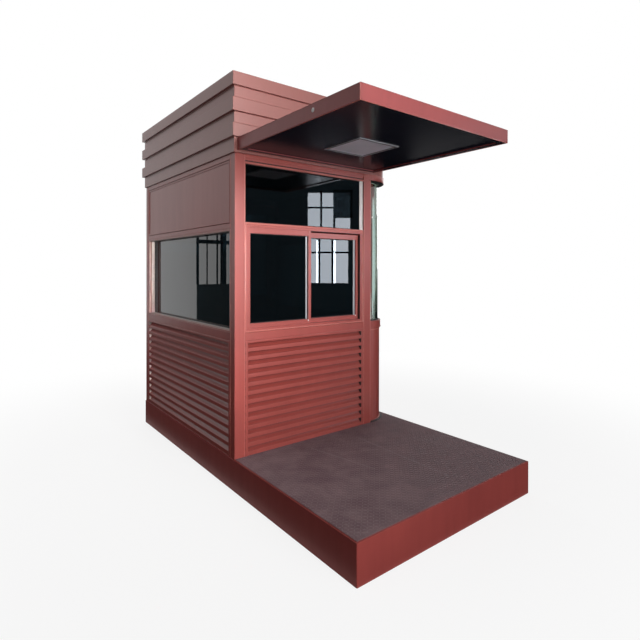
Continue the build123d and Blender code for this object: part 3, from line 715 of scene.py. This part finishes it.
# Zinc crystals a thumbnail wide, each with its own grey and gloss, and white rust between them
spangle_mm, rust_mm = 16.0, 260.0
material, tree, place = start_finish("hot_dip_galvanised_sheet")
crystals = cells(tree, place, spangle_mm).outputs["Color"]
grey = add(tree, "ShaderNodeSeparateColor", {}, [(0, crystals)]).outputs
bloom = between(tree, noise(tree, place, rust_mm, 6.0, 0.7), 0.5, 0.75, 0.0, 0.7)
zinc = blend(tree, bloom, blend(tree, grey[0], "#A9ACAE", "#7D8184"), "#C9C9C4")
end_surface(material, tree, {"Metallic": 1.0}, zinc, None, between(tree, grey[1], 0.0, 1.0, 0.3, 0.5))
finish_nodes(material, ["roof_deck"])


def coated_sheet(name, tone, other_tone, settings, patch_mm, detail, grain_mm, depth_mm, strength):
    """A coat that drifts between two tones in patches, over a fine relief of its own."""
    material, tree, place = start_finish(name)
    colour = blend(tree, noise(tree, place, patch_mm, detail), tone, other_tone)
    skin = relief(tree, noise(tree, place, grain_mm), depth_mm, strength)
    return end_surface(material, tree, settings, colour, skin)


# Smooth polyester on a lining board, matt and even, a little yellow with age
lining_board = coated_sheet(
    "coil_coated_lining_board", "#DAD9D5", "#CFCBC2", {"Roughness": 0.55, "IOR": 1.5},
    patch_mm=380.0, detail=3.0, grain_mm=4.0, depth_mm=0.3, strength=0.2,
)
finish_nodes(lining_board, ["ceiling_panel"])

# Canopy. A shallow steel box in the walls' enamel, painted darker and bluer than the walls as painted
# shade. A folded dark trim closes its underside inside a rolled lower edge, and a smooth blue-black
# panel is sunk between the trims.
canopy_enamel_painted_darker = sprayed_enamel("oxblood_enamel_painted_darker_as_shade", "#944241", "#7A3738", 0.42, 0.36, 0.12)
finish_nodes(canopy_enamel_painted_darker, ["canopy_frame", "canopy_top_sheet"], 1.5)


def underside(low, high):
    """A piece's underside as a plane seen from below, and its two corners there."""
    below = plane((0, 0, low.z), (1, 0, 0), (0, -1, 0), (0, 0, -1))
    return below, (low.x, -high.y), (high.x, -low.y)


# Nearly featureless laminate, with a soft satin gloss and a faint grey bloom
soffit_laminate = coated_sheet(
    "blue_black_laminate", "#1C1C28", "#22202C", {"Roughness": 0.2, "IOR": 1.5, "Specular IOR Level": 0.1},
    patch_mm=330.0, detail=3.0, grain_mm=260.0, depth_mm=0.8, strength=0.2,
)
finish_nodes(soffit_laminate, ["canopy_soffit"], 0.5)
canopy_low, canopy_high = box_mm("canopy_frame")
canopy_left_side = plane((canopy_low.x, 0, 0), (0, -1, 0), (0, 0, 1), (-1, 0, 0))
corner_ends = [(-canopy_low.y - 0.4, z) for z in (canopy_low.z + 1.0, canopy_high.z - 1.0)]
# The rolled edge at the canopy's corner is in the brighter enamel: a painted highlight
rolled_bead("canopy_corner_rolled_edge", canopy_left_side, *corner_ends, 5.0, 2.0, -0.3)
trim_inset = 12.0
trim_reach = box_mm("canopy_soffit")[0].x - canopy_low.x - trim_inset
trim = [(0.0, -0.2), (0.0, 1.2), (trim_reach, 1.2), (trim_reach, -0.2)]
canopy_underside = underside(canopy_low, canopy_high)
mitred_frame("canopy_underside_trim", *canopy_underside, trim, soffit_laminate, "soffit_panel", trim_inset)
# The canopy's lower rolled edge is in the brighter enamel: a painted highlight
mitred_frame(
    "canopy_lower_rolled_edge", *canopy_underside, half_round(7.0, 3.0, -0.3), highlight_enamel,
    "oxblood_paint", 0.4,
)

# Canopy lamp. A square spun-edge housing of grey powder-coated sheet, with the fine even pebble of
# cured powder, and an opal panel let into it.
lamp_powder_coat = coated_sheet(
    "grey_powder_coated_sheet", "#A3A1A8", "#918F96", {"Roughness": 0.42, "IOR": 1.5},
    patch_mm=90.0, detail=4.0, grain_mm=1.6, depth_mm=0.2, strength=0.25,
)
finish_nodes(lamp_powder_coat, ["canopy_lamp_housing"], 1.0)

# Opal acrylic with a prismatic face. Light sinks into it and comes back greyer, and dust dulls it.
prism_mm, prism_depth_mm, dust_mm = 6.0, 0.5, 120.0
material, tree, place = start_finish("opal_acrylic")
milky = blend(tree, noise(tree, place, dust_mm, 4.0), "#E6E6F0", "#D2D2DE")
face = relief(tree, cells(tree, place, prism_mm, 0.0).outputs["Distance"], prism_depth_mm, 0.3)
acrylic = {"Roughness": 0.5, "IOR": 1.49, "Subsurface Weight": 0.2, "Subsurface Scale": 0.004}
end_surface(material, tree, acrylic, milky, face)
finish_nodes(material, ["canopy_lamp_diffuser"], 0.5)
lamp_underside = underside(*box_mm("canopy_lamp_housing"))
for name, section, material, inset in (
    ("lamp_outer_bead", half_round(7.0, 1.8, -0.3), lamp_powder_coat, 0.5),
    ("lamp_panel_gasket", half_round(9.0, 1.2, -0.4), glazing_rubber, 10.0),
):
    mitred_frame(name, *lamp_underside, section, material, "lamp_housing", inset)

# Back door. A sheet-steel leaf on butt hinges in a folded frame, with a rubber seal all round, a
# glazed upper half behind a screwed bead, and a satin stainless lever on a long plate.
finish_nodes(oxblood_enamel, ["door_frame", "door_leaf"], 1.5)

# Stainless steel rubbed to a satin grain along its length, darker where fingers leave grease
grain_mm, grain_depth_mm, touch_mm = 1.2, 0.1, 40.0
stainless, tree, place = start_finish("satin_stainless_steel")
touch = noise(tree, place, touch_mm, 3.0)
steel = blend(tree, touch, "#C8C6C2", "#A5A3A0")
skin = relief(tree, noise(tree, stretched(tree, place, (0.05, 1.0, 1.0)), grain_mm), grain_depth_mm, 0.2)
end_surface(stainless, tree, {"Metallic": 1.0}, steel, skin, between(tree, touch, 0.0, 1.0, 0.2, 0.38))
finish_nodes(stainless, ["door_handle", "door_hinges"], 0.8)
frame_back = box_mm("door_frame")[1].y
door_face, glass_face = [box_mm(node)[1].y - frame_back for node in ("door_leaf", "door_glass")]
for name, node, section, outset, material, slot in (
    ("door_seal", "door_leaf", half_round(6.5, 3.0, door_face - 1.0), 3.6, glazing_rubber, "door_fittings"),
    ("door_glazing_bead", "door_glass", rounded_flat(20.0, 5.0, door_face - 0.3, 2.0), 16.0,
     oxblood_enamel, "oxblood_paint"),
    ("door_glass_rubber", "door_glass", half_round(7.0, 3.0, glass_face - 0.2), 0.0, glazing_rubber,
     "door_fittings"),
):
    start, end, foot, head = span_on_wall(node, back_wall)
    mitred_frame(name, back_wall, (start, foot), (end, head), section, material, slot, -outset)


def round_head(name, wall, centre, radius, height, base, material):
    """A shallow domed head, such as a rivet, screw or lock rosette, standing on a wall."""
    origin, along, up, out = wall
    steps = 16
    rings = ((1.0, base), (1.0, base + height * 0.45), (0.8, base + height * 0.85), (0.45, base + height))
    points = []
    for share, rise in rings:
        for turn in [2 * math.pi * step / steps for step in range(steps)]:
            x = centre[0] + radius * share * math.cos(turn)
            z = centre[1] + radius * share * math.sin(turn)
            points.append(origin + along * x + up * z + out * rise)
    fit_piece(name, points, faces_between(len(rings), steps), material, 50)


spindle_inset, lever_z, plate_proud = 18.0, 1050.0, 4.8
spindle_x, plate_face = -(box_mm("door_handle")[0].x + spindle_inset), door_face + plate_proud
for name, drop, radius, proud in (
    ("door_handle_rosette", 0.0, 16.0, 4.0), ("door_lock_cylinder", 62.0, 11.0, 6.0),
    ("door_plate_screw_1", 100.0, 4.5, 1.8), ("door_plate_screw_2", -100.0, 4.5, 1.8),
):
    place = (spindle_x, lever_z - drop)
    round_head(name, back_wall, place, radius, proud, plate_face, stainless)

# White plugs. Small press-in caps over the screws of the window, the bent glass and the canopy.
for name, wall, place, radius, proud, base, slot in (
    ("meeting_stile_cap", front_wall, (slide_left + 6.0, slide_foot + 24.0), 5.5, 2.2, -fixed_depth - 0.4,
     "glazing_aluminium"),
    ("closing_stile_cap", front_wall, (slide_right - 24.0, slide_foot + 28.0), 4.0, 2.0, -slide_depth - 0.4,
     "glazing_aluminium"),
    ("bent_glass_cap", front_wall, (524.0, 1869.0), 6.0, 3.0, -34.5, "window_glass"),
    ("canopy_side_cap", canopy_left_side, (1127.0, 2264.0), 12.0, 3.0, -0.2, "oxblood_paint"),
):
    round_head(name, wall, place, radius, proud, base, clip_in_bead)

# Studio. A pale seamless floor under the booth, and a plain white room.


def stage_sheet(name, corners, material):
    """A flat sheet of the studio, which isn't part of the booth."""
    mesh = bpy.data.meshes.new(name)
    mesh.from_pydata(corners, [], [(0, 1, 2, 3)])
    mesh.materials.append(material)
    sheet = bpy.data.objects.new(name, mesh)
    bpy.context.scene.collection.objects.link(sheet)
    sheet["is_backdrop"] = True
    return sheet


def upright(left, right, low, high):
    """Corners of an upright sheet between two places on the floor."""
    return [(*left, low), (*right, low), (*right, high), (*left, high)]


def lying(x0, x1, y0, y1, height=0.004):
    """Corners of a level sheet, lying just over the floor or hung at a height."""
    return [(x0, y0, height), (x1, y0, height), (x1, y1, height), (x0, y1, height)]


def seen_directly(tree):
    """1 for what the camera sees, also in gloss and through glass, and 0 for light on the booth."""
    path = add(tree, "ShaderNodeLightPath", {}).outputs
    seen = calculate(tree, "MAXIMUM", path["Is Camera Ray"], path["Is Glossy Ray"])
    return calculate(tree, "MAXIMUM", seen, path["Is Transmission Ray"])


def floor_paper(name, near_m, far_m, near_share):
    """Seamless white paper. It keeps the booth's shadow near it and runs out to plain white, with a
    fine tooth that only breaks up the shadow's edge."""
    tooth_mm, tooth_depth_mm = 4.0, 0.4
    material, tree, place = start_finish(name)
    away = add(tree, "ShaderNodeVectorMath", {"operation": "LENGTH"}, [(0, place)]).outputs["Value"]
    fade = between(tree, away, near_m, far_m, near_share, 1.0, "SMOOTHSTEP")
    seen = seen_directly(tree)
    fibre = relief(tree, noise(tree, place, tooth_mm), tooth_depth_mm, 0.05)
    bounce = blend(tree, seen, "#6E6E6E", "#FFFFFF")
    paper = add(tree, "ShaderNodeBsdfDiffuse", {}, [("Color", bounce), ("Normal", fibre)])
    white = add(tree, "ShaderNodeEmission", {"Strength": 1.0})
    shaders = [(0, calculate(tree, "MULTIPLY", fade, seen)), (1, paper.outputs[0]), (2, white.outputs[0])]
    return end_finish(material, tree, add(tree, "ShaderNodeMixShader", {}, shaders))


floor_m = 30.0
floor_corners = lying(-floor_m, floor_m, -floor_m, floor_m, 0.0)
stage_sheet("studio_floor", floor_corners, floor_paper("seamless_white_paper", 1.6, 4.5, 0.85))

room_light, backdrop_white = 0.19, 1.0
world = bpy.data.worlds.new("white_room")
bpy.context.scene.world = world
world.use_nodes = True
tree = world.node_tree
tree.nodes.clear()
lit, behind = [
    add(tree, "ShaderNodeBackground", {"Color": linear("#FFFFFF"), "Strength": strength}).outputs[0]
    for strength in (room_light, backdrop_white)
]
room = add(tree, "ShaderNodeMixShader", {}, [(0, seen_directly(tree)), (1, lit), (2, behind)])
add(tree, "ShaderNodeOutputWorld", {}, [("Surface", room.outputs[0])])


def dark_cloth(name, yarn, nap):
    """Dark wool cloth, which takes the light out of a part of the room."""
    weave_mm = 2.0
    material, tree, place = start_finish(name)
    tone = blend(tree, noise(tree, place, weave_mm), yarn, nap)
    return end_finish(material, tree, add(tree, "ShaderNodeBsdfDiffuse", {}, [("Color", tone)]))


def flag(name, corners, material, only_in_gloss=True):
    """A sheet of cloth that glossy surfaces see in place of the white room."""
    cloth = stage_sheet(name, corners, material)
    cloth.visible_camera = False
    cloth.visible_transmission = False
    cloth.visible_diffuse = not only_in_gloss
    cloth.visible_shadow = not only_in_gloss
    return cloth


wool = dark_cloth("dark_wool_cloth", "#10181B", "#18242A")
felt = dark_cloth("grey_wool_felt", "#4A5356", "#3C4548")
slate = dark_cloth("slate_blue_cloth", "#7C97A8", "#6C8798")
flag("flag_front_right", upright((1.72, -4.6), (5.2, -4.6), 0.0, 3.3), slate, False)
flag("flag_right", upright((5.2, -4.6), (5.6, -1.0), 0.0, 3.3), slate, False)
flag("flag_right_back", upright((5.6, -1.0), (7.6, 9.0), 0.0, 3.0), wool)
flag("flag_front_floor", lying(-0.75, 3.8, -4.5, -1.49), wool)
flag("flag_left_floor", lying(-5.5, -0.8, -2.2, 8.5), wool)
flag("flag_right_floor", lying(1.2, 14.0, -1.0, 12.0), wool)
flag("flag_left_sill", upright((-4.3, 6.0), (-3.1, 6.0), 0.0, 1.12), felt)
left_bars_m = (
    (-3.76, -3.62, 1.12, 2.6), (-3.57, -3.53, 1.12, 2.6), (-3.34, -3.31, 1.12, 2.6),
    (-3.15, -3.09, 1.12, 2.6), (-4.3, -3.1, 1.95, 2.03),
)
for index, (left_m, right_m, low_m, high_m) in enumerate(left_bars_m):
    flag("flag_left_bar_%d" % (index + 1), upright((left_m, 6.0), (right_m, 6.0), low_m, high_m), wool)
flag("flag_left_ceiling", lying(-9.0, -1.4, 1.0, 4.5, 6.5), wool)
flag("flag_front_ceiling", lying(0.5, 7.0, -8.0, -2.0, 6.5), wool)
canopy_shade = flag("flag_before_canopy", upright((-1.05, -2.1), (0.75, -2.1), 2.25, 2.38), wool, False)
canopy_shade.visible_glossy = False


def softbox(name, place, target, width, height, watts, spread_degrees=180.0, hue="#FFFFFF"):
    """A rectangular soft light aimed at a point. A grid on its face narrows its spread."""
    light = bpy.data.lights.new(name, "AREA")
    light.shape = "RECTANGLE"
    light.size, light.size_y = width, height
    light.energy = watts
    light.spread = math.radians(spread_degrees)
    light.color = linear(hue)[:3]
    holder = bpy.data.objects.new(name, light)
    holder.location = place
    holder.rotation_euler = (Vector(target) - Vector(place)).to_track_quat("-Z", "Y").to_euler()
    bpy.context.scene.collection.objects.link(holder)
    return holder


softbox("key_softbox", (-0.4, -5.2, 2.6), (-1.15, -0.3, 1.95), 0.9, 1.4, 33.5, 52.0)
edge_light = softbox("edge_softbox", (-1.35, -5.4, 1.1), (-0.76, 1.36, 1.05), 0.2, 1.6, 1.1, 7.0)
edge_light.visible_glossy = False
softbox("wide_softbox", (-0.45, -5.4, 1.05), (-0.2, -0.3, 1.15), 2.4, 1.6, 87.0)
softbox("sheen_softbox", (1.85, -6.2, 4.1), (-0.9, -0.3, 2.3), 1.3, 3.4, 38.0)
window_place, window_aim, window_hue = Vector((2.735, -3.572, 1.95)), Vector((0.0, 0.0, 1.95)), "#E6EEF9"
mirrored_window = softbox("window_softbox", window_place, window_aim, 0.70, 1.49, 30.0, 180.0, window_hue)
mirrored_window.visible_diffuse = False
softbox("top_softbox", (1.0, -0.9, 6.5), (0.2, -0.4, 0.0), 2.5, 2.5, 8.0)
softbox("left_top_softbox", (-3.2, 0.6, 5.4), (-0.75, 0.5, 1.2), 1.6, 2.6, 18.0)
softbox("back_softbox", (1.6, 6.5, 3.0), (0.0, 1.0, 1.3), 3.0, 2.5, 110.0)
softbox("right_softbox", (6.0, 2.6, 2.6), (0.5, 0.6, 1.3), 2.5, 2.5, 45.0)

# Bars in front of the window's softbox, so that the panes mirror a window with glazing bars
bar_turn, bars_ahead_m = math.radians(38), 0.05
bar_way = Vector((math.cos(bar_turn), math.sin(bar_turn), 0.0))
bar_centre = Vector((2.70, -3.60, 0.0)) + bars_ahead_m * Vector((-bar_way.y, bar_way.x, 0.0))
bar_spans_m = (
    (-0.1025, -0.0675, 1.18, 2.72), (0.1125, 0.1475, 1.18, 2.72), (-0.32, 0.41, 1.696, 1.726),
    (-0.32, 0.13, 2.43, 2.46), (0.118, 0.43, 2.275, 2.74),
)
for index, (from_m, to_m, low_m, high_m) in enumerate(bar_spans_m):
    ends = [(bar_centre + bar_way * side_m)[:2] for side_m in (from_m, to_m)]
    flag("glazing_bar_%d" % (index + 1), upright(*ends, low_m, high_m), wool)
for index, side_m in enumerate((-0.118, 0.168)):
    place = bar_centre + bar_way * side_m + Vector((0.0, 0.0, 1.56))
    aim = place + window_aim - window_place
    softbox("gap_light_%d" % (index + 1), place, aim, 0.034, 0.70, 2.2, 180.0, window_hue)

# Camera. Fitted to the photograph: its place, its turn and a small shift, with the lens in film
# terms for a frame 640 px square.
frame_px, focal_px, axis_x_px, axis_y_px = 640.0, 473.74, 318.82, 269.43
lens = bpy.data.cameras.new("photo_camera")
lens.sensor_width = 36.0
lens.lens = lens.sensor_width * focal_px / frame_px
lens.shift_x = (frame_px / 2 - axis_x_px) / frame_px
lens.shift_y = (axis_y_px - frame_px / 2) / frame_px
viewer = bpy.data.objects.new("photo_camera", lens)
viewer.location = (-2.2002, -3.0676, 1.4523)
viewer.rotation_euler = (math.radians(90 - 0.154), math.radians(-0.082), math.radians(-37.846))
bpy.context.scene.collection.objects.link(viewer)
bpy.context.scene.camera = viewer
bpy.context.scene.view_settings.view_transform = "Standard"

low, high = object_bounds()
